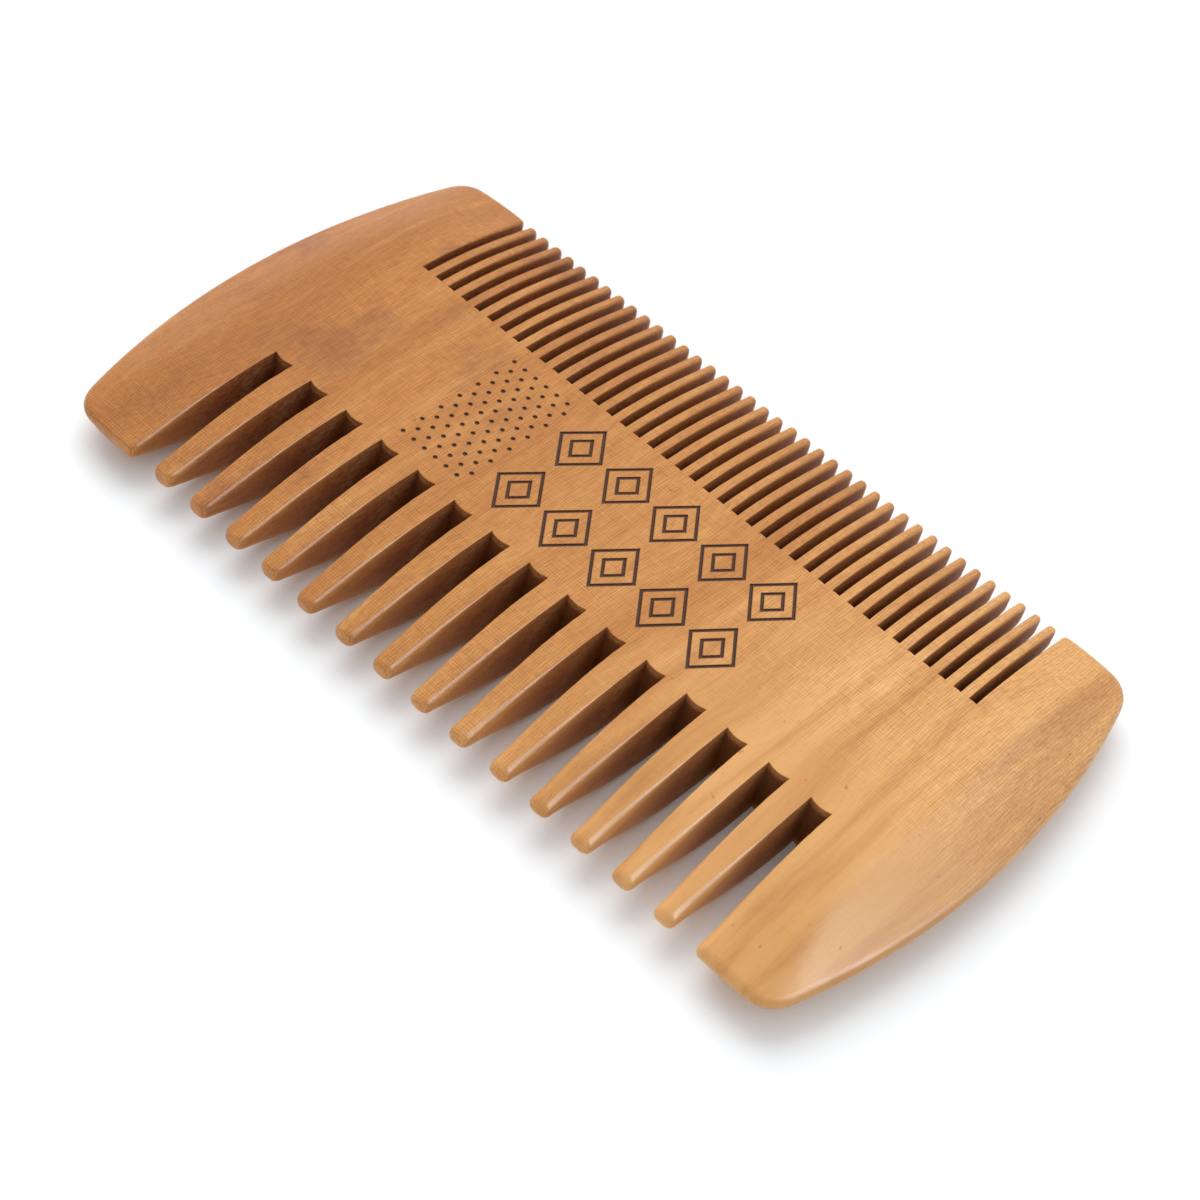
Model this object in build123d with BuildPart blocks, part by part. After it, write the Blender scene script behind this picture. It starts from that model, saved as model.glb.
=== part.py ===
"""Two-sided beard comb, sawn and sanded from one board of close-grained fruit wood.

Axes: X along the comb's length, +Y towards the fine teeth, +Z up.
Origin: centre of the plan, on the flat underside.
"""

import os
from math import atan, cos, hypot, sin, sqrt

from build123d import *

# Board
length = 100.0
width = 55.6
thickness = 7.0
end_radius = 90.0  # plan radius of the bowed ends
end_centre_y = 0.9  # the bow peaks a little towards the fine teeth
corner_reach = 2.4  # how far a rounded corner reaches along each edge of the plan
corner_bulge = 0.45  # how far the corner's arc stands out from its chord

# Both faces are sanded to a bevel towards the tooth tips and the bowed ends:
# its reach, its slope, and the length over which the flat face turns into that slope
coarse_bevel = (18.2, 0.23, 13.0)
fine_bevel = (17.0, 0.196, 12.0)
end_bevel = (8.6, 0.42, 4.0)

# Coarse teeth, on the -Y side
coarse_teeth = 14
coarse_pitch = 5.06
coarse_gap = 2.44
coarse_depth = 18.25
root_bow = 0.25  # the saw leaves each gap's end wall bowed towards its mouth

# Fine teeth, on the +Y side
fine_teeth = 39
fine_pitch = 1.89
fine_gap = 0.9
fine_depth = 16.6
fine_shift_x = 0.4  # the fine row sits a little to the right of the coarse row

# Sanding opens the gaps: share of the depth, extra half width, flare at the two faces
coarse_sanding = [(0.0, 0.0, 0.02), (0.3, 0.0, 0.1), (0.65, 0.04, 0.4), (1.05, 0.2, 0.7)]
fine_sanding = [(0.0, 0.0, 0.01), (0.6, 0.0, 0.05), (1.06, 0.05, 0.18)]

# Rounding of the tooth tips in plan: length, start width, opening
coarse_tip_rounding = (1.1, 0.1, 0.5)
fine_tip_rounding = (1.0, 0.02, 0.25)
tip_roundness = 0.3  # lower is squarer

# Burnt ornament on the upper face: staggered dots beside two rows of lozenges
groove_width = 0.28
groove_depth = 0.22
char_thickness = 0.06
dot_radius = 0.21
dot_rows = 13
dot_columns = 6
dot_pitch_x = 1.5
dot_pitch_y = 1.32
dots_centre = (-16.9, 0.85)
lozenge_columns = 5
lozenge_rows = 2
lozenge_pitch_x = 6.35
lozenge_pitch_y = 9.0
lozenge_half_x = 2.85
lozenge_half_y = 3.8
lozenge_scales = (1.0, 0.5)  # an outer and an inner outline
lozenges_centre = (4.3, 0.85)

# Worked out
tip_y = width / 2
mid_z = thickness / 2
clear = 1.0  # how far a cutter runs past the board
cutter_faces_z = (-clear, thickness + clear)
end_centre_x = length / 2 - end_radius
coarse_root_y = coarse_depth - tip_y
fine_root_y = tip_y - fine_depth


def bevelled_edge(edge, bevel):
    """Upper bevel, round nose and lower bevel of the board where it thins out to an edge.

    Returns where the flat face begins. Each bevel runs into the nose without a corner.
    """
    reach, slope, easing = bevel
    side = 1 if edge > 0 else -1
    angle = atan(slope)
    nose_share = (1 - sin(angle)) / cos(angle)  # the nose's length over its half height
    fall_to_edge = slope * (reach - easing / 2)
    nose_half = (mid_z - fall_to_edge) / (1 - slope * nose_share)
    flat_start = edge - side * reach
    eased = flat_start + side * easing
    shoulder = edge - side * nose_half * nose_share
    eased_fall = slope * easing / 2
    for face_z, hand in ((thickness, 1), (0, -1)):
        eased_z = face_z - hand * eased_fall
        TangentArc((flat_start, face_z), (eased, eased_z), tangent=(side, 0))
        Line((eased, eased_z), (shoulder, mid_z + hand * nose_half))
    ThreePointArc((shoulder, mid_z + nose_half), (edge, mid_z), (shoulder, mid_z - nose_half))
    return flat_start


def end_x(y):
    """Half the board's length at a distance y from its centre line."""
    return end_centre_x + sqrt(end_radius**2 - (y - end_centre_y) ** 2)


def gap_cutter(root_y, side, depth, gap, sanding):
    """A tooth gap lofted from its root to its mouth, with walls that flare at both faces."""
    with BuildPart() as cutter:
        for share, widening, flare in sanding:
            wall_x = gap / 2 + widening
            face_x = wall_x + flare
            with BuildSketch(Plane.XZ.offset(-root_y - side * share * depth)):
                with BuildLine():
                    low_z, high_z = cutter_faces_z
                    for hand in (1, -1):
                        foot = (hand * face_x, low_z)
                        ThreePointArc(foot, (hand * wall_x, mid_z), (hand * face_x, high_z))
                    for z in cutter_faces_z:
                        Line((-face_x, z), (face_x, z))
                make_face()
        loft()
    return cutter.part


def mouth_cutter(side, gap, rounding):
    """The widening between two tooth tips, seen in plan, that rounds their noses."""
    reach, widening, opening = rounding
    start = (gap / 2 + widening, side * (tip_y - reach))
    bend = (start[0] + opening * tip_roundness, side * (tip_y - reach * tip_roundness))
    end = (start[0] + opening, side * tip_y)
    outside = (end[0], side * (tip_y + clear))
    with BuildPart() as cutter:
        with BuildSketch(Plane.XY.offset(-clear)):
            with BuildLine():
                ThreePointArc(start, bend, end)
                Polyline(end, outside, (0, outside[1]), (0, start[1]), start)
            make_face()
            mirror(about=Plane.YZ)
        extrude(amount=thickness + 2 * clear)
    return cutter.part


# A large disc with a bevelled rim, which gives one end of the board its bow
with BuildPart() as end_disc:
    with BuildSketch(Plane.XZ):
        with BuildLine():
            rim_flat = bevelled_edge(end_radius, end_bevel)
            Polyline((rim_flat, thickness), (0, thickness), (0, 0), (rim_flat, 0))
        make_face()
    revolve(axis=Axis.Z)

# What the saw and the sanding take out of one coarse gap, less its bowed end wall
with BuildPart() as coarse_waste:
    add(gap_cutter(coarse_root_y, -1, coarse_depth, coarse_gap, coarse_sanding))
    add(mouth_cutter(-1, coarse_gap, coarse_tip_rounding))
    bow_chord = coarse_gap / 2 * 1.08  # a little past the corners, so that they stay cut
    bow_radius = (bow_chord**2 + root_bow**2) / (2 * root_bow)
    with Locations((0, coarse_root_y - root_bow + bow_radius, mid_z)):
        Cylinder(bow_radius, thickness + 4 * clear, mode=Mode.SUBTRACT)

with BuildPart() as fine_waste:
    add(gap_cutter(fine_root_y, 1, fine_depth, fine_gap, fine_sanding))
    add(mouth_cutter(1, fine_gap, fine_tip_rounding))

# The waste outside one rounded corner of the plan, at +X +Y
with BuildPart() as corner_waste:
    with BuildSketch(Plane.XY.offset(-clear)):
        with BuildLine():
            on_tips = (end_x(tip_y) - corner_reach, tip_y)
            on_end = (end_x(tip_y - corner_reach), tip_y - corner_reach)
            chord = hypot(on_end[0] - on_tips[0], on_end[1] - on_tips[1])
            bulge = (
                (on_tips[0] + on_end[0]) / 2 + (on_tips[1] - on_end[1]) / chord * corner_bulge,
                (on_tips[1] + on_end[1]) / 2 + (on_end[0] - on_tips[0]) / chord * corner_bulge,
            )
            ThreePointArc(on_tips, bulge, on_end)
            Polyline(on_end, (on_end[0] + clear, on_tips[1] + clear), on_tips)
        make_face()
    extrude(amount=thickness + 2 * clear)

# Ornament lines, drawn once and used for the grooves and for their charred floors
with BuildSketch() as ornament:
    with Locations(lozenges_centre):
        with GridLocations(lozenge_pitch_x, lozenge_pitch_y, lozenge_columns, lozenge_rows):
            for scale in lozenge_scales:
                half_x = scale * lozenge_half_x
                half_y = scale * lozenge_half_y
                inner = 1 - groove_width * hypot(half_x, half_y) / (half_x * half_y)
                for mode, size in ((Mode.ADD, 1), (Mode.SUBTRACT, inner)):
                    x = half_x * size
                    y = half_y * size
                    Polygon((x, 0), (0, y), (-x, 0), (0, -y), mode=mode)
    for row in range(dot_rows):
        stagger = (row % 2 - 0.5) * dot_pitch_x / 2
        row_y = dots_centre[1] + (row - (dot_rows - 1) / 2) * dot_pitch_y
        with Locations((dots_centre[0] + stagger, row_y)):
            with GridLocations(dot_pitch_x, 1, dot_columns, 1):
                Circle(dot_radius)

# The comb: a bevelled board, trimmed at its ends and corners, sawn into teeth and engraved
with BuildPart() as comb_body:
    with BuildSketch(Plane.YZ):
        with BuildLine():
            coarse_flat = bevelled_edge(-tip_y, coarse_bevel)
            fine_flat = bevelled_edge(tip_y, fine_bevel)
            for z in (0, thickness):
                Line((coarse_flat, z), (fine_flat, z))
        make_face()
    extrude(amount=length / 2 + clear, both=True)
    for end in (1, -1):
        with Locations((end * end_centre_x, end_centre_y, 0)):
            add(end_disc.part, mode=Mode.INTERSECT)
    add(corner_waste.part, mode=Mode.SUBTRACT)
    add(corner_waste.part.mirror(Plane.YZ), mode=Mode.SUBTRACT)
    add(corner_waste.part.mirror(Plane.XZ), mode=Mode.SUBTRACT)
    add(corner_waste.part.mirror(Plane.YZ).mirror(Plane.XZ), mode=Mode.SUBTRACT)
    with GridLocations(coarse_pitch, 1, coarse_teeth + 1, 1):
        add(coarse_waste.part, mode=Mode.SUBTRACT)
    with Locations((fine_shift_x, 0)):
        with GridLocations(fine_pitch, 1, fine_teeth + 1, 1):
            add(fine_waste.part, mode=Mode.SUBTRACT)
    with BuildSketch(Plane.XY.offset(thickness)):
        add(ornament.sketch)
    extrude(amount=-groove_depth, mode=Mode.SUBTRACT)

# The charred wood on the floor of every groove and dot
with BuildPart() as engraving_char:
    with BuildSketch(Plane.XY.offset(thickness - groove_depth)):
        add(ornament.sketch)
    extrude(amount=char_thickness)

comb_body.part.label = "comb_body"
engraving_char.part.label = "engraving_char"

os.makedirs("parts", exist_ok=True)
export_step(comb_body.part, "parts/comb_body.step")
export_step(engraving_char.part, "parts/engraving_char.step")
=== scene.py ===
"""Looks of the two-sided beard comb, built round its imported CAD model.

Axes as in the CAD: X along the comb, +Y towards the fine teeth, +Z up, origin in the middle of the
underside. Lengths are in millimetres, and become metres only where an object is made.
"""

import math
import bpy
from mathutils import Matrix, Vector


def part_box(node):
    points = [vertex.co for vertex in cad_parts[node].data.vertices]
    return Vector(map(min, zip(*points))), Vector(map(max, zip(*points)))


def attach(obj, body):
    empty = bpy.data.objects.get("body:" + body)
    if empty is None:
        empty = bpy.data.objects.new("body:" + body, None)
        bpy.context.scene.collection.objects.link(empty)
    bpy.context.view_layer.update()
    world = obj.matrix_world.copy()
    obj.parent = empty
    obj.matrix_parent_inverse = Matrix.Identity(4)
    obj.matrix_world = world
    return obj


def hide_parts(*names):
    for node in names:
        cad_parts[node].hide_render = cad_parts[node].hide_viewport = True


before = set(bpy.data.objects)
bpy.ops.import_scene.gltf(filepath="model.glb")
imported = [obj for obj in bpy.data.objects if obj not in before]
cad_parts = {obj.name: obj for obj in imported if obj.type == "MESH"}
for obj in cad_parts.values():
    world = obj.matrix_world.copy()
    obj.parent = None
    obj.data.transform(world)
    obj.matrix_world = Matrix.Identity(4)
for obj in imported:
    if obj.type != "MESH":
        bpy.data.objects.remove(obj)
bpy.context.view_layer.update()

from types import SimpleNamespace

import bpy
import numpy as np
from mathutils import Matrix, Vector
from mathutils.geometry import delaunay_2d_cdt

MM = 0.001
rng = np.random.default_rng(7)

# Board, from the CAD
board_high = np.array(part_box("comb_body")[1]) / MM
thickness = float(board_high[2])
mid_z = thickness / 2
tip_y = float(board_high[1])
half_length = float(board_high[0])

# Plan of the ends and corners
end_radius = 90.0
end_centre_x = half_length - end_radius
end_centre_y = 0.9
corner_reach = 2.8
end_points = 40  # points along each bowed end

# Both faces are sanded to a bevel towards the tooth tips and the bowed ends, as in the CAD:
# its reach, its slope, and the length over which the flat face turns into that slope
coarse_bevel = (18.2, 0.23, 13.0)
fine_bevel = (17.0, 0.196, 12.0)
end_bevel = (8.6, 0.42, 4.0)
crease_sharpness = 5.0  # how crisply two bevels meet at each corner

# The rows of teeth, sawn as in the CAD: bow is how far an end wall bulges into its gap, shift is how
# far the row is off centre. How they are finished: widening and flare are a gap's extra half width
# near the tips, in plan and at the faces; root_round and tip_round round the long edges at the
# roots, and at the left and right tips, growing from the share round_from of the way out; nose and
# squareness shape a tip in plan; crisp_nose shortens the leftmost noses; ragged and uneven are
# random amounts for walls and tips; wall_soot_and_shade darkens the walls with saw burn and painted
# shade;
# stations and nose_steps count points.
coarse = SimpleNamespace(
    teeth=14, pitch=5.06, gap=2.44, depth=18.25, bow=0.27, shift=0.0, height_y=-1, bevel=coarse_bevel,
    widening=0.2, flare=0.7, flare_power=1.7, root_round=0.08, tip_round=(0.55, 1.05), round_from=0.15,
    nose=1.15, squareness=3.0, stations=18, nose_steps=8, cheek_round=0.8, ragged=0.03, uneven=0.2,
    crisp_nose=0.3, wall_soot_and_shade=0.3,
)
fine = SimpleNamespace(
    teeth=39, pitch=1.89, gap=0.9, depth=16.6, bow=0.04, shift=-0.4, height_y=1, bevel=fine_bevel,
    widening=0.04, flare=0.1, flare_power=2.8, root_round=0.06, tip_round=(0.32, 0.34), round_from=-0.3,
    nose=0.95, squareness=2.4, stations=12, nose_steps=6, cheek_round=1.5, ragged=0.02, uneven=0.28,
    crisp_nose=1.0, wall_soot_and_shade=0.6,
)
gap_corner = 0.06  # the saw's inner corners are this sharp
wall_lean = 0.012  # how far a wall is typically out of place at the tips
least_wall = 0.03  # what a rounded edge leaves of the wall above the middle plane
root_soot_and_shade = 0.85  # darkness of the walls at the roots, from saw burn and painted shade; the end walls have 1
# tip_soot_and_shade is the lighter saw burn and painted shade on the walls at the tips, where more
# light falls
tip_soot_and_shade = 0.3
nose_growth = 6.0  # a cheek's nose reaches its full length this far from the gap beside it
full_depth = 9.0  # a rounding this deep reaches down to the middle plane
barrel_height = 4.5  # the gap walls' flare is given this far above and below the middle plane

# Burnt ornament on the upper face, as in the CAD
groove_width = 0.28
groove_depth = 0.22
dot_radius = 0.21
dot_rows = 13
dot_columns = 6
dot_pitch = (1.5, 1.32)
dots_centre = (-16.9, 0.85)
lozenge_grid = (5, 2)
lozenge_pitch = (6.35, 9.0)
lozenge_half = (2.85, 3.8)
lozenge_scales = (1.0, 0.5)
lozenges_centre = (4.3, 0.85)
rim_lip = 0.025  # the burnt walls lean out by this much
halo_reach = 0.15  # scorched wood beside each line

# Camera and light
camera_azimuth = 31.36
camera_elevation = 48.38
camera_roll = 15.16
camera_distance = 228.1
camera_lens = 72.8
camera_aim = (6.26, -7.68, thickness)
camera_fstop = 60.0
focus_beyond_aim = 4.0


def smooth(value, low, high):
    """0 below low, 1 above high, and an S-curve between."""
    t = np.clip((value - low) / (high - low), 0.0, 1.0)
    return t * t * (3 - 2 * t)


# ---------------------------------------------------------------- faces


def bevel_drop(from_edge, bevel):
    """How far a face has dropped at a distance from the edge that it is bevelled to."""
    reach, slope, easing = bevel
    into = np.clip(reach - from_edge, 0, None)
    eased = np.minimum(into, easing)
    return slope * (eased**2 / (2 * easing) + into - eased)


def nose_length(bevel):
    """How far from the edge a bevel gives way to the round nose."""
    reach, slope, easing = bevel
    angle = math.atan(slope)
    share = (1 - math.sin(angle)) / math.cos(angle)
    return share * (mid_z - slope * (reach - easing / 2)) / (1 - slope * share)


def hand_waves(x, y):
    """Slow unevenness left by hand sanding, between 0 and 1."""
    waves = np.sin(x / 5.3 + 1.1) * np.sin(y / 4.1 + 0.4) + np.sin(x / 9.7 - y / 7.9 + 2.0)
    return waves / 4 + 0.5


def face_height(x, y):
    """Height of the upper face of the board over a point of the plan."""
    from_end = end_radius - np.hypot(np.abs(x) - end_centre_x, y - end_centre_y)
    drops = (
        bevel_drop(tip_y + y, coarse_bevel),
        bevel_drop(tip_y - y, fine_bevel),
        bevel_drop(from_end, end_bevel),
    )
    total = sum(drop**crease_sharpness for drop in drops) ** (1 / crease_sharpness)
    sanded = 0.012 + 0.07 * smooth(total, 0.0, 0.8)
    return thickness - total - sanded * hand_waves(x, y)


# ---------------------------------------------------------------- plan outline


class Outline:
    """The comb's plan at mid height, anticlockwise, with how its edge is finished at each point."""

    def __init__(self):
        self.points = []

    def add(self, point, shrink, depth, inward=(0.0, 0.0), flare=0.0, soot_and_shade=0.0):
        """Add a point that moves by shrink, and falls by depth, between the face and the wall below it.

        The wall stands out by flare against inward, towards the middle plane.
        """
        self.points.append((*point, *shrink, depth, *inward, flare, soot_and_shade))

    def arrays(self):
        table = np.array(self.points)
        return SimpleNamespace(
            place=table[:, 0:2], shrink=table[:, 2:4], depth=table[:, 4], inward=table[:, 5:7],
            flare=table[:, 7], soot_and_shade=table[:, 8],
        )


def end_x(y):
    """Half the board's length at a distance y from its centre line."""
    return end_centre_x + math.sqrt(end_radius**2 - (y - end_centre_y) ** 2)


def end_outward(side, y):
    """Direction straight out of a bowed end at a distance y from the centre line."""
    return np.array((side * (end_x(y) - end_centre_x), y - end_centre_y)) / end_radius


def add_corner(outline, side, edge_y, from_tips):
    """The rounded corner between a tip line and a bowed end, walked from the tips or towards them."""
    corner = np.array((side * end_x(edge_y), edge_y))
    on_tips = corner - np.array((side * corner_reach, 0))
    arc_y = edge_y - math.copysign(corner_reach, edge_y)
    on_arc = np.array((side * end_x(arc_y), arc_y))
    row_nose = nose_length(fine_bevel if edge_y > 0 else coarse_bevel)
    tip_nose = np.array((0, math.copysign(row_nose, edge_y)))
    end_nose = nose_length(end_bevel) * end_outward(side, arc_y)
    steps = np.linspace(0, 1, 9)
    for t in steps if from_tips else steps[::-1]:
        point = (1 - t) ** 2 * on_tips + 2 * t * (1 - t) * corner + t**2 * on_arc
        outline.add(point, -((1 - t) * tip_nose + t * end_nose), full_depth)


def add_end(outline, side):
    """A bowed end with its two corners; side is 1 for +X, walked towards +Y, and -1 for -X."""
    add_corner(outline, side, -side * tip_y, True)
    arc_y = side * (tip_y - corner_reach)
    for y in np.linspace(-arc_y, arc_y, end_points + 2)[1:-1]:
        outline.add((side * end_x(y), y), -nose_length(end_bevel) * end_outward(side, y), full_depth)
    add_corner(outline, side, side * tip_y, False)


def add_row(outline, row):
    """One edge of the comb: a cheek's tip edge, the gaps and teeth, and the other cheek's tip edge.

    Local axes: along is the way the outline is walked, inwards is the distance from the tip line.
    """
    way = -row.height_y
    full_nose = nose_length(row.bevel)

    def wear(along):
        """The comb is worn rounder from its left to its right: 0 to 1."""
        return smooth(way * along, -30, 30)

    def nose_at(along):
        """Length of the nose: as high everywhere, but shorter on the left."""
        return full_nose * (row.crisp_nose + (1 - row.crisp_nose) * wear(along))

    def short_nose(along, room):
        """Length of the nose where the tip is rounded in plan within some room."""
        return min(nose_at(along), 0.9 * room)

    def put(along, inwards, shrink, depth, hand=0.0, flare=0.0, soot_and_shade=0.0):
        outline.add(
            (way * along, way * (inwards - tip_y)), (way * shrink[0], way * shrink[1]), depth,
            (way * hand, 0.0), flare, soot_and_shade,
        )

    def rounding_at(along, share):
        low, high = row.tip_round
        at_tip = low + (high - low) * wear(along)
        return row.root_round + (at_tip - row.root_round) * smooth(share, row.round_from, 1.0) ** 1.2

    def wall_depth(rounding):
        """A rounded edge reaches a little further down the wall than it does across the face."""
        return rounding * (1.15 + 0.3 * rounding)

    def tip_depth(rounding, front):
        """The wall's rounding turns into the round nose at the front of a tip."""
        return wall_depth(rounding) + (1.3 * full_nose - wall_depth(rounding)) * front

    def half_gap(share):
        return row.gap / 2 + row.widening * (max(share - 0.3, 0) / 0.75) ** 2.2

    def wall(gap_centre, hand, towards_root):
        """One side wall of a gap; hand is -1 for the wall met first."""
        lean = rng.normal(0, wall_lean)
        reach = np.linspace(row.nose, row.depth - gap_corner, row.stations)
        for inwards in reach if towards_root else reach[::-1]:
            share = 1 - inwards / row.depth
            rough = row.ragged * rng.uniform(-1, 1) * smooth(1 - share, 0.2, 0.9)
            along = gap_centre + hand * (half_gap(share) + lean * share)
            # Saw burn and painted shade on the wall, darkest towards the root
            soot_and_shade = row.wall_soot_and_shade + (root_soot_and_shade - row.wall_soot_and_shade) * smooth(1 - share, 0.3, 1.0)
            rounding = rounding_at(along, share) * (1 + rough * 6)
            flare = row.flare * share**row.flare_power + rough
            put(along, inwards, (hand * rounding, 0), wall_depth(rounding), hand, flare, soot_and_shade)

    def end_wall(gap_centre):
        rounding = row.root_round
        for step in np.linspace(-1, 1, 7):
            at_corner = abs(step) == 1
            along = gap_centre + step * row.gap / 2
            inwards = row.depth - row.bow * (1 - step**2)
            across = rounding * step * (1 if at_corner else 0.15)
            # End walls take full soot: saw burn and painted shade deep in the gap
            put(along, inwards, (across, rounding), wall_depth(rounding), soot_and_shade=1.0)

    def nose(centre, half_width, tooth_offset, rounding):
        """A tooth's tip from its first side to its other side."""
        front_shrink = short_nose(centre, row.nose - tooth_offset)
        quarter = np.linspace(0, math.pi / 2, row.nose_steps + 1)[1:]
        angles = list(quarter) + [math.pi - a for a in quarter[-2::-1]]
        power = 2 / row.squareness
        for angle in angles:
            across = math.copysign(abs(math.cos(angle)) ** power, -math.cos(angle))
            forward = math.sin(angle) ** power
            inwards = tooth_offset + (row.nose - tooth_offset) * (1 - forward)
            front = math.sin(angle) ** 2
            # Painted shade and saw burn on the tip's sides, fading to none at its front
            put(
                centre + across * half_width, inwards, (-across * rounding, forward * front_shrink),
                tip_depth(rounding, front), -across, row.flare * (1 - front), tip_soot_and_shade * (1 - front),
            )

    def mouth(along, hand):
        """The rounded corner between a cheek's tip edge and the gap beside it."""
        steps = np.linspace(0, math.pi / 2, row.nose_steps + 1)
        for angle in steps[:0:-1] if hand < 0 else steps[1:]:
            across = math.cos(angle) ** 0.8
            forward = math.sin(angle) ** 0.8
            front = math.sin(angle) ** 2
            rounding = rounding_at(along, 1.0)
            shrink = (hand * rounding * math.cos(angle), short_nose(along, row.nose) * math.sin(angle))
            # Painted shade and saw burn on the mouth's side, fading to none at its front
            put(
                along + hand * row.cheek_round * (1 - across), row.nose * (1 - forward), shrink,
                tip_depth(rounding, front), hand, row.flare * (1 - front), tip_soot_and_shade * (1 - front),
            )

    def tip_edge(start, stop, mouth_along):
        """A cheek's tip edge, whose nose grows from that of a tooth to its full length."""
        for along in np.linspace(start, stop, 8)[1:-1]:
            at_mouth = short_nose(along, row.nose)
            grown = smooth(abs(along - mouth_along), 0.0, nose_growth)
            put(along, 0.0, (0, at_mouth + (nose_at(along) - at_mouth) * grown), full_depth)

    first_gap = -row.teeth / 2 * row.pitch + row.shift
    last_gap = -first_gap + 2 * row.shift
    corner_along = end_x(row.height_y * tip_y) - corner_reach
    mouth_half = half_gap(1 - row.nose / row.depth)
    first_mouth = first_gap - mouth_half - row.cheek_round
    last_mouth = last_gap + mouth_half + row.cheek_round
    tip_edge(-corner_along, first_mouth, first_mouth)
    mouth(first_gap - mouth_half, -1)
    for index in range(row.teeth + 1):
        gap_centre = first_gap + index * row.pitch
        wall(gap_centre, -1, True)
        end_wall(gap_centre)
        wall(gap_centre, 1, False)
        if index < row.teeth:
            half_width = row.pitch / 2 - mouth_half
            centre = gap_centre + row.pitch / 2
            rounding = min(rounding_at(centre, 1.0), 0.78 * half_width)
            nose(centre, half_width, rng.uniform(0, row.uneven), rounding)
    mouth(last_gap + mouth_half, 1)
    tip_edge(last_mouth, corner_along, last_mouth)


def comb_outline():
    outline = Outline()
    add_row(outline, coarse)
    add_end(outline, 1)
    add_row(outline, fine)
    add_end(outline, -1)
    return outline.arrays()


# ---------------------------------------------------------------- ornament


def circle(centre, radius, count=14):
    angles = np.arange(count) * 2 * math.pi / count
    return np.column_stack((centre[0] + radius * np.cos(angles), centre[1] + radius * np.sin(angles)))


def lozenge(centre, half, splits=6):
    corners = np.array(((half[0], 0), (0, half[1]), (-half[0], 0), (0, -half[1]))) + centre
    loop = []
    for start, stop in zip(corners, np.roll(corners, -1, axis=0)):
        loop.extend(start + (stop - start) * t for t in np.arange(splits) / splits)
    return np.array(loop)


def grid(centre, pitch, count):
    """Centres of a rectangular grid, row by row."""
    for row in range(count[1]):
        for column in range(count[0]):
            yield np.array(
                (
                    centre[0] + (column - (count[0] - 1) / 2) * pitch[0],
                    centre[1] + (row - (count[1] - 1) / 2) * pitch[1],
                )
            )


def ornament_loops():
    """Closed loops of the burnt lines as (points, level, burn).

    Level 0 is the face of the comb and level 1 the floor of a groove.
    """
    loops = []

    def dot(centre):
        loops.append((circle(centre, dot_radius + halo_reach), 0, 0.0))
        loops.append((circle(centre, dot_radius + rim_lip), 0, 0.8))
        loops.append((circle(centre, dot_radius - rim_lip), 1, 1.0))

    for row in range(dot_rows):
        stagger = (row % 2 - 0.5) * dot_pitch[0] / 2
        row_y = dots_centre[1] + (row - (dot_rows - 1) / 2) * dot_pitch[1]
        for centre in grid((dots_centre[0] + stagger, row_y), dot_pitch, (dot_columns, 1)):
            dot(centre)
    for centre in grid(lozenges_centre, lozenge_pitch, lozenge_grid):
        for scale in lozenge_scales:
            half = np.array(lozenge_half) * scale
            side_distance = half[0] * half[1] / math.hypot(*half)
            for inset, level, burn in (
                (-halo_reach, 0, 0.0),
                (-rim_lip, 0, 0.8),
                (rim_lip, 1, 1.0),
                (groove_width - rim_lip, 1, 1.0),
                (groove_width + rim_lip, 0, 0.8),
                (groove_width + halo_reach, 0, 0.0),
            ):
                loops.append((lozenge(centre, half * (1 - inset / side_distance)), level, burn))
    return loops


# ---------------------------------------------------------------- mesh


def inside(points, polygon):
    """Which points lie inside a polygon, by counting crossings."""
    start = polygon
    stop = np.roll(polygon, -1, axis=0)
    result = np.zeros(len(points), bool)
    for (x0, y0), (x1, y1) in zip(start, stop):
        if y0 == y1:
            continue
        crosses = (y0 > points[:, 1]) != (y1 > points[:, 1])
        result ^= crosses & (points[:, 0] < (x1 - x0) * (points[:, 1] - y0) / (y1 - y0) + x0)
    return result


def distance_to(points, loop):
    """Distance of each point from a closed loop of segments."""
    best = np.full(len(points), 1e9)
    for start, stop in zip(loop, np.roll(loop, -1, axis=0)):
        along = stop - start
        t = np.clip((points - start) @ along / max(along @ along, 1e-12), 0, 1)
        best = np.minimum(best, np.linalg.norm(points - start - t[:, None] * along, axis=1))
    return best


def filler(boundary, loops, spacing=1.1, clearance=0.22):
    """Points spread evenly over a face, clear of its boundary and of the ornament."""
    rows = np.arange(-tip_y, tip_y, spacing * math.sqrt(3) / 2)
    points = np.array(
        [
            (x + (index % 2) * spacing / 2, y)
            for index, y in enumerate(rows)
            for x in np.arange(-half_length, half_length, spacing)
        ]
    )
    points = points + rng.uniform(-0.08, 0.08, points.shape)
    points = points[inside(points, boundary)]
    points = points[distance_to(points, boundary) > 0.4 * spacing]
    for loop, _, _ in loops:
        near = np.linalg.norm(points - loop.mean(axis=0), axis=1) < np.ptp(loop, axis=0).max()
        clear = np.ones(len(points), bool)
        clear[near] = distance_to(points[near], loop) > clearance
        points = points[clear]
    return points


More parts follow.
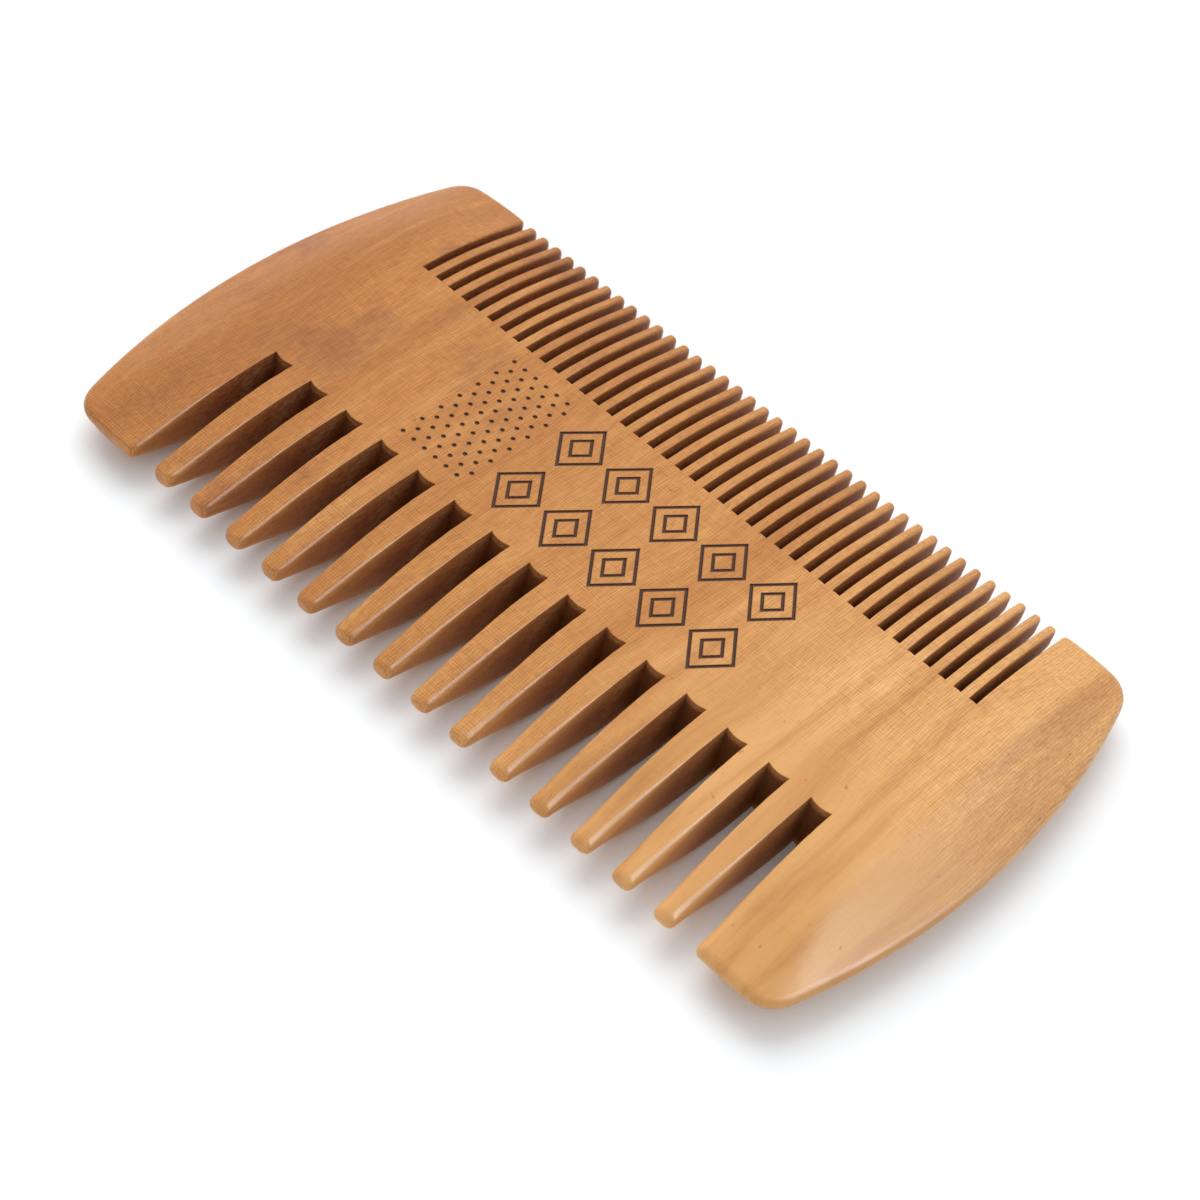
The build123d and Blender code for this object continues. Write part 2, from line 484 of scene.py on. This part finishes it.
def triangulate(boundary, loops):
    """The points added to a face, loops first, and the triangles over all of its points."""
    extra = [loop for loop, _, _ in loops]
    extra.append(filler(boundary, loops))
    points = np.vstack([boundary] + extra)
    edges = [(i, (i + 1) % len(boundary)) for i in range(len(boundary))]
    start = len(boundary)
    for loop, _, _ in loops:
        count = len(loop)
        edges.extend((start + i, start + (i + 1) % count) for i in range(count))
        start += count
    made, _, faces, sources, *_ = delaunay_2d_cdt([Vector(p) for p in points], edges, [], 0, 1e-6, True)
    if len(made) != len(points) or any(len(s) != 1 for s in sources):
        raise ValueError("the plan crosses itself")
    source = [s[0] for s in sources]
    triangles = np.array([[source[i] for i in face] for face in faces])
    triangles = triangles[inside(points[triangles].mean(axis=1), boundary)]
    a, b, c = (points[triangles[:, i]] for i in range(3))
    turned = (b - a)[:, 0] * (c - a)[:, 1] - (b - a)[:, 1] * (c - a)[:, 0] < 0
    triangles[turned] = triangles[turned][:, ::-1]
    return points[len(boundary):], triangles


def height(points):
    """Height of the upper face over points of the plan."""
    return face_height(points[:, 0], points[:, 1])


def edge_rings(plan):
    """Rings of points round the comb's edge, from the upper face down, with their soot: saw burn and
    painted shade.
    """

    def at(barrel, shrunk=0.0):
        return plan.place + barrel[:, None] * plan.inward + shrunk * plan.shrink

    def barrel_at(z):
        return plan.flare * ((z - mid_z) / barrel_height) ** 2

    top = height(plan.place)
    depth = np.minimum(plan.depth, top - mid_z - least_wall)
    rings = []
    shades = []
    for angle in np.linspace(0, math.pi / 2, 7):
        points = at(barrel_at(top - depth), 1 - math.sin(angle))
        z = height(points) - depth * (1 - math.cos(angle))
        rings.append(np.column_stack((points, z)))
        # Painted shade creeping over the rounded edge as it turns down into the wall
        shades.append(plan.soot_and_shade * 0.55 * smooth(angle, 0.7, 1.6))
    wall_top = rings[-1][:, 2]
    for share in (0.12, 0.3, 0.55, 0.8, 1.0):
        z = mid_z + (wall_top - mid_z) * (1 - share)
        rings.append(np.column_stack((at(barrel_at(z)), z)))
        # Painted shade, full from a little way down the wall
        shades.append(plan.soot_and_shade * smooth(share, -0.3, 0.3))
    mirrored = [np.column_stack((ring[:, :2], thickness - ring[:, 2])) for ring in rings[-2::-1]]
    return rings + mirrored, shades + shades[-2::-1]


def comb_mesh():
    """The comb's wood: two faces joined by rounded, barrelled edge walls, with the grooves cut in."""
    plan = comb_outline()
    count = len(plan.place)
    rings, shades = edge_rings(plan)
    vertices = np.vstack(rings)
    soot_and_shade = np.concatenate(shades)
    here = np.arange(count)
    following = np.roll(here, -1)
    faces = []
    for ring in range(len(rings) - 1):
        upper = ring * count
        under = upper + count
        faces.extend(zip(upper + here, under + here, under + following, upper + following))

    burn = np.zeros(len(vertices))
    groove_faces = set()
    for loops, is_top in ((ornament_loops(), True), ([], False)):
        added, triangles = triangulate(rings[0][:, :2], loops)
        base = len(vertices)
        z = height(added)
        scorched = np.zeros(len(added))
        on_floor = np.zeros(len(added) + count, bool)
        start = 0
        for loop, level, amount in loops:
            stop = start + len(loop)
            scorched[start:stop] = amount
            if level:
                z[start:stop] = thickness - groove_depth
                on_floor[count + start:count + stop] = True
            start = stop
        vertices = np.vstack((vertices, np.column_stack((added, z if is_top else thickness - z))))
        soot_and_shade = np.concatenate((soot_and_shade, np.zeros(len(added))))
        burn = np.concatenate((burn, scorched))
        first = 0 if is_top else (len(rings) - 1) * count
        index = np.concatenate((first + here, base + np.arange(len(added))))
        for triangle in triangles:
            if on_floor[triangle].any():
                groove_faces.add(len(faces))
            faces.append(tuple(index[triangle] if is_top else index[triangle[::-1]]))
    return vertices, faces, groove_faces, soot_and_shade, burn


def set_normals(mesh, vertices, faces, flat_faces):
    """Smooth normals weighted by area, so that broad faces stay flat up to their rounded edges."""
    normals = np.zeros_like(vertices)
    face_normals = np.zeros((len(faces), 3))
    for number, face in enumerate(faces):
        corners = vertices[list(face)]
        if len(face) == 4:
            normal = np.cross(corners[2] - corners[0], corners[3] - corners[1])
        else:
            normal = np.cross(corners[1] - corners[0], corners[2] - corners[0])
        face_normals[number] = normal
        if number not in flat_faces:
            normals[list(face)] += normal
    lengths = np.linalg.norm(normals, axis=1, keepdims=True)
    normals = normals / np.maximum(lengths, 1e-12)
    face_normals = face_normals / np.maximum(np.linalg.norm(face_normals, axis=1, keepdims=True), 1e-12)
    loops = []
    for number, face in enumerate(faces):
        if number in flat_faces:
            loops.extend([face_normals[number]] * len(face))
        else:
            loops.extend(normals[vertex] for vertex in face)
    mesh.normals_split_custom_set([tuple(normal) for normal in loops])


def make_comb():
    vertices, faces, groove_faces, soot_and_shade, burn = comb_mesh()
    mesh = bpy.data.meshes.new("comb_wood")
    mesh.from_pydata((vertices * MM).tolist(), [], [[int(i) for i in face] for face in faces])
    mesh.polygons.foreach_set("use_smooth", [True] * len(mesh.polygons))
    for name, values in (("soot_and_shade", soot_and_shade), ("burn", burn)):
        attribute = mesh.attributes.new(name, "FLOAT", "POINT")
        attribute.data.foreach_set("value", values.astype(np.float32))
    set_normals(mesh, vertices, faces, groove_faces)
    comb = bpy.data.objects.new("comb_wood", mesh)
    bpy.context.scene.collection.objects.link(comb)
    return comb


# ---------------------------------------------------------------- materials


class Shader:
    """Short names for the shader nodes that the materials here use."""

    def __init__(self, name):
        self.material = bpy.data.materials.new(name)
        self.material.use_nodes = True
        self.tree = self.material.node_tree
        self.tree.nodes.clear()

    def node(self, kind, inputs=None, **settings):
        node = self.tree.nodes.new(kind)
        for name, value in settings.items():
            setattr(node, name, value)
        for name, value in (inputs or {}).items():
            self.feed(node.inputs[name], value)
        return node

    def feed(self, socket, value):
        if isinstance(value, bpy.types.NodeSocket):
            self.tree.links.new(value, socket)
        elif socket.type == "RGBA" and len(value) == 3:
            socket.default_value = (*value, 1.0)
        else:
            socket.default_value = value

    def millimetres(self):
        """Places on the object, in millimetres."""
        return self.scaled(self.node("ShaderNodeTexCoord").outputs["Object"], (1 / MM,) * 3)

    def scaled(self, vector, factors):
        node = self.node("ShaderNodeVectorMath", {0: vector, 1: factors}, operation="MULTIPLY")
        return node.outputs[0]

    def plus(self, vector, other):
        return self.node("ShaderNodeVectorMath", {0: vector, 1: other}, operation="ADD").outputs[0]

    def noise(self, vector, stretch=(1, 1, 1), detail=2.0, roughness=0.5, colour=False):
        inputs = {"Vector": self.scaled(vector, stretch), "Scale": 1.0, "Detail": detail}
        node = self.node("ShaderNodeTexNoise", {**inputs, "Roughness": roughness})
        return node.outputs["Color" if colour else "Fac"]

    def math(self, operation, first, second=0.0):
        return self.node("ShaderNodeMath", {0: first, 1: second}, operation=operation).outputs[0]

    def times(self, first, second):
        return self.math("MULTIPLY", first, second)

    def around_zero(self, noise):
        """A noise, which is around a half, brought around zero."""
        return self.math("SUBTRACT", noise, 0.5)

    def between(self, value, low, high, to_low=0.0, to_high=1.0):
        return self.node(
            "ShaderNodeMapRange",
            {"Value": value, "From Min": low, "From Max": high, "To Min": to_low, "To Max": to_high},
            interpolation_type="SMOOTHSTEP",
        ).outputs[0]

    def mix(self, factor, first, second, blend="MIX"):
        node = self.node("ShaderNodeMix", data_type="RGBA", blend_type=blend)
        for index, value in ((0, factor), (6, first), (7, second)):
            self.feed(node.inputs[index], value)
        return node.outputs[2]

    def tinted(self, colour, tone):
        """A colour made lighter or darker by a factor, warmer where it is darker."""
        red, green, blue = (self.math("POWER", tone, power) for power in (0.8, 1.1, 1.35))
        factors = self.node("ShaderNodeCombineColor", {0: red, 1: green, 2: blue}).outputs[0]
        return self.mix(1.0, colour, factors, "MULTIPLY")

    def ripples(self, value, per_millimetre, wobble, radians=14.0):
        """Fine parallel lines from -1 to 1, bent by a noise that shifts them by some radians."""
        phase = self.times(value, 2 * math.pi * per_millimetre)
        return self.math("SINE", self.math("ADD", phase, self.times(wobble, radians)))

    def bumps(self, relief, strength, millimetres_high):
        inputs = {"Strength": strength, "Distance": millimetres_high * MM, "Height": relief}
        return self.node("ShaderNodeBump", inputs).outputs[0]

    def attribute(self, name):
        return self.node("ShaderNodeAttribute", attribute_name=name).outputs["Fac"]

    def surface(self, **inputs):
        named = {name.replace("_", " "): value for name, value in inputs.items()}
        shader = self.node("ShaderNodeBsdfPrincipled", named)
        output = self.node("ShaderNodeOutputMaterial")
        self.tree.links.new(shader.outputs[0], output.inputs[0])
        return self.material


def wood_material():
    s = Shader("comb_wood")
    place = s.millimetres()
    split = s.node("ShaderNodeSeparateXYZ", {0: place})
    x, y = split.outputs[0], split.outputs[1]

    # The grain runs along Y and wanders a little sideways
    wander = s.scaled(s.plus(s.noise(place, (0.05, 0.025, 0.05), colour=True), (-0.5,) * 3), (7, 0, 4))
    grained = s.plus(place, wander)
    bands = s.noise(grained, (0.11, 0.012, 0.1), detail=2.0)
    streaks = s.noise(grained, (0.42, 0.02, 0.3), detail=4.0, roughness=0.55)
    fibres = s.noise(grained, (6.0, 0.5, 6.0), detail=2.0, roughness=0.6)
    clouds = s.noise(place, (0.06, 0.045, 0.06), detail=3.0)

    # Cross lines left by the sanding belt, stronger in patches
    belt = s.noise(place, (0.4, 6.0, 6.0), detail=2.0, roughness=0.6)
    belt_patches = s.between(s.noise(place, (0.07, 0.09, 0.07), detail=1.0), 0.3, 0.7, 0.7, 1.0)
    polished = s.times(s.between(x, 0.0, 28.0), s.between(y, 6.0, -12.0))
    texture = s.math("SUBTRACT", 1.0, s.times(polished, 0.85))

    # Redder and darker on the left, golden on the right: partly the wood's own tone, partly painted
    # light, brighter where the light falls on the right
    drift = s.math("ADD", x, s.times(s.around_zero(clouds), 46.0))
    ruddy = s.mix(s.between(bands, 0.3, 0.7), (0.385, 0.142, 0.033), (0.460, 0.184, 0.046))
    middle = s.mix(s.between(bands, 0.3, 0.7), (0.470, 0.195, 0.050), (0.540, 0.240, 0.068))
    golden = s.mix(s.between(bands, 0.3, 0.7), (0.605, 0.300, 0.096), (0.715, 0.380, 0.140))
    colour = s.mix(s.between(drift, -34.0, -4.0), ruddy, middle)
    colour = s.mix(s.between(drift, 10.0, 46.0), colour, golden)
    colour = s.mix(s.between(streaks, 0.45, 0.72, 0.0, 0.5), colour, (0.38, 0.135, 0.034))
    colour = s.mix(s.between(streaks, 0.48, 0.28, 0.0, 0.3), colour, (0.68, 0.36, 0.128))

    # Reddish smudges on the left half of the spine
    left = s.between(x, -8.0, -20.0)
    smudges = s.between(s.noise(grained, (0.16, 0.07, 0.16), detail=4.0, roughness=0.6), 0.5, 0.72)
    colour = s.mix(s.times(s.times(left, smudges), 0.55), colour, (0.26, 0.085, 0.032))

    # Fine texture: fibres, belt lines, and a few dark flecks
    lines = s.ripples(y, 3.7, s.noise(place, (0.25, 0.5, 0.25), detail=1.0))
    threads = s.ripples(x, 3.3, s.noise(place, (0.5, 0.16, 0.5), detail=1.0))
    belt_part = s.math("ADD", s.times(s.around_zero(belt), 0.7), s.times(lines, 0.11))
    belt_part = s.times(belt_part, belt_patches)
    fibre_part = s.math("ADD", s.between(fibres, 0.25, 0.75, -0.15, 0.15), s.times(threads, 0.08))
    fine_part = s.math("ADD", fibre_part, belt_part)
    colour = s.tinted(colour, s.math("ADD", 1.0, s.times(fine_part, texture)))
    flecks = s.between(s.noise(grained, (1.6, 0.9, 1.6), detail=1.0), 0.745, 0.8, 0.0, 0.45)
    colour = s.mix(flecks, colour, (0.24, 0.09, 0.03))

    # Gap walls darkened by saw burn and by painted shade, darkest at the roots and less on the right
    soot_and_shade = s.attribute("soot_and_shade")
    pores = s.noise(place, (2.6, 1.3, 2.6), detail=4.0, roughness=0.75)
    wall_colour = s.mix(s.between(pores, 0.35, 0.66), (0.36, 0.115, 0.030), (0.135, 0.036, 0.011))
    sooty_and_shaded = s.times(s.between(soot_and_shade, 0.03, 0.6), s.between(x, -40.0, 5.0, 0.8, 0.55))
    colour = s.mix(sooty_and_shaded, colour, wall_colour)

    # A painted sheen on each gap wall: a paler band slanting down from its root, a painted reflection
    # of the light
    below_top = s.times(s.math("SUBTRACT", thickness, split.outputs[2]), 1 / thickness)
    from_root = s.math("SUBTRACT", root_soot_and_shade, soot_and_shade)
    off_band = s.math("ABSOLUTE", s.math("SUBTRACT", from_root, s.times(below_top, 0.28)))
    painted_sheen_band = s.times(s.between(off_band, 0.12, 0.0, 0.0, 0.35), s.between(soot_and_shade, 0.3, 0.45))
    colour = s.mix(s.times(painted_sheen_band, s.between(pores, 0.65, 0.4)), colour, (0.50, 0.30, 0.17))
    # End walls darkest: saw burn and painted shade deep in each gap
    colour = s.mix(s.between(soot_and_shade, 0.72, 1.0, 0.0, 0.75), colour, (0.13, 0.042, 0.016))

    # Scorched halo and walls of the burnt lines
    burn = s.attribute("burn")
    ragged_burn = s.math("ADD", burn, s.times(s.around_zero(fibres), 0.4))
    colour = s.mix(s.between(ragged_burn, 0.1, 0.55, 0.0, 0.35), colour, (0.22, 0.085, 0.032))
    colour = s.mix(s.between(ragged_burn, 0.55, 0.95, 0.0, 0.9), colour, (0.050, 0.019, 0.010))

    # Oiled and worn smooth on the faces, dull on the sawn walls
    wear = s.noise(place, (0.5, 0.2, 0.5), detail=3.0)
    roughness = s.math("ADD", s.math("ADD", 0.30, s.times(wear, 0.14)), s.times(soot_and_shade, 0.3))
    gloss = s.math("SUBTRACT", 0.36, s.times(soot_and_shade, 0.3))
    relief = s.math("ADD", s.times(fibres, 0.8), s.times(belt, 0.7))
    relief = s.math("SUBTRACT", relief, s.times(s.times(pores, soot_and_shade), 1.5))
    return s.surface(
        Base_Color=colour, Roughness=roughness, Normal=s.bumps(relief, 0.4, 0.03),
        IOR=1.45, Specular_IOR_Level=gloss,
    )


def char_material():
    s = Shader("charred_wood")
    place = s.millimetres()
    lumps = s.noise(place, (6.0, 6.0, 6.0), detail=3.0, roughness=0.7)
    colour = s.mix(s.between(lumps, 0.35, 0.75), (0.045, 0.018, 0.011), (0.130, 0.056, 0.026))
    roughness = s.between(lumps, 0.2, 0.8, 0.7, 0.95)
    return s.surface(Base_Color=colour, Roughness=roughness, Normal=s.bumps(lumps, 0.8, 0.04))


def floor_material():
    s = Shader("floor")
    tone = s.between(s.noise(s.millimetres(), (0.02, 0.02, 0.02)), 0.3, 0.7, 0.925, 0.94)
    cool = s.node("ShaderNodeCombineColor", {0: tone, 1: tone, 2: tone}).outputs[0]
    colour = s.mix(1.0, cool, (0.98, 1.0, 1.012), "MULTIPLY")  # evens out the warm light off the wood
    return s.surface(Base_Color=colour, Roughness=0.9, Specular_IOR_Level=0.1)


# ---------------------------------------------------------------- stage


def make_floor():
    reach = 4.0
    corners = [(reach * x, reach * y, 0) for x, y in ((-1, -1), (1, -1), (1, 1), (-1, 1))]
    mesh = bpy.data.meshes.new("floor")
    mesh.from_pydata(corners, [], [(0, 1, 2, 3)])
    floor = bpy.data.objects.new("floor", mesh)
    bpy.context.scene.collection.objects.link(floor)
    mesh.materials.append(floor_material())


def add_softbox(name, direction, distance, size, power):
    """A rectangular soft light that faces the comb from a direction."""
    light = bpy.data.lights.new(name, "AREA")
    light.shape = "RECTANGLE"
    light.size, light.size_y = size
    light.energy = power
    lamp = bpy.data.objects.new(name, light)
    bpy.context.scene.collection.objects.link(lamp)
    back = Vector(direction).normalized()
    lamp.location = back * distance
    lamp.rotation_euler = back.to_track_quat("Z", "Y").to_euler()
    return lamp


def view_axes():
    """The camera's right, up and back directions."""
    azimuth = math.radians(camera_azimuth)
    elevation = math.radians(camera_elevation)
    roll = math.radians(camera_roll)
    level = Vector((math.cos(azimuth), math.sin(azimuth), 0))
    outward = math.cos(elevation)
    back = Vector((math.sin(azimuth) * outward, -math.cos(azimuth) * outward, math.sin(elevation)))
    right = math.cos(roll) * level + math.sin(roll) * back.cross(level)
    return right, back.cross(right), back


def add_sheen(name, tilt, slope, size, power):
    """A lamp that the camera sees mirrored in wood tilted towards +X and sloping down to -Y."""
    tilt = math.radians(tilt)
    normal = Vector((math.sin(tilt), -slope * math.cos(tilt), math.cos(tilt))).normalized()
    back = view_axes()[2]
    mirrored = 2 * normal.dot(back) * normal - back
    lamp = add_softbox(name, mirrored, 0.9, (size, size), power)
    lamp.visible_diffuse = False


def make_lights():
    world = bpy.data.worlds.new("studio")
    bpy.context.scene.world = world
    world.use_nodes = True
    world.node_tree.nodes["Background"].inputs["Color"].default_value = (0.98, 1.0, 1.02, 1.0)
    world.node_tree.nodes["Background"].inputs["Strength"].default_value = 0.79
    key = add_softbox("key", (-0.52, 0.42, 0.74), 1.2, (1.2, 1.2), 11.6)
    key.visible_glossy = False  # keeps its haze off the flat face, as a polarised light would
    for tilt in (30, 39, 48):
        add_sheen(f"edge_sheen_{tilt}", tilt, coarse_bevel[1], 0.17, 4.2)
    add_sheen("bevel_sheen", 21, 0.0, 0.22, 1.1)


def make_camera():
    camera = bpy.data.objects.new("camera", bpy.data.cameras.new("camera"))
    bpy.context.scene.collection.objects.link(camera)
    bpy.context.scene.camera = camera
    right, up, back = view_axes()
    place = (Vector(camera_aim) + back * camera_distance) * MM
    camera.matrix_world = Matrix.Translation(place) @ Matrix((right, up, back)).transposed().to_4x4()
    camera.data.sensor_width = 36.0
    camera.data.lens = camera_lens
    camera.data.clip_start = 0.01
    camera.data.dof.use_dof = True
    camera.data.dof.focus_distance = (camera_distance + focus_beyond_aim) * MM
    camera.data.dof.aperture_fstop = camera_fstop


comb = make_comb()
comb.data.materials.append(wood_material())
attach(comb, "root")
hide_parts("comb_body")

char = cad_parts["engraving_char"]
char.data.materials.clear()
char.data.materials.append(char_material())

make_floor()
make_lights()
make_camera()
bpy.context.scene.view_settings.view_transform = "Standard"
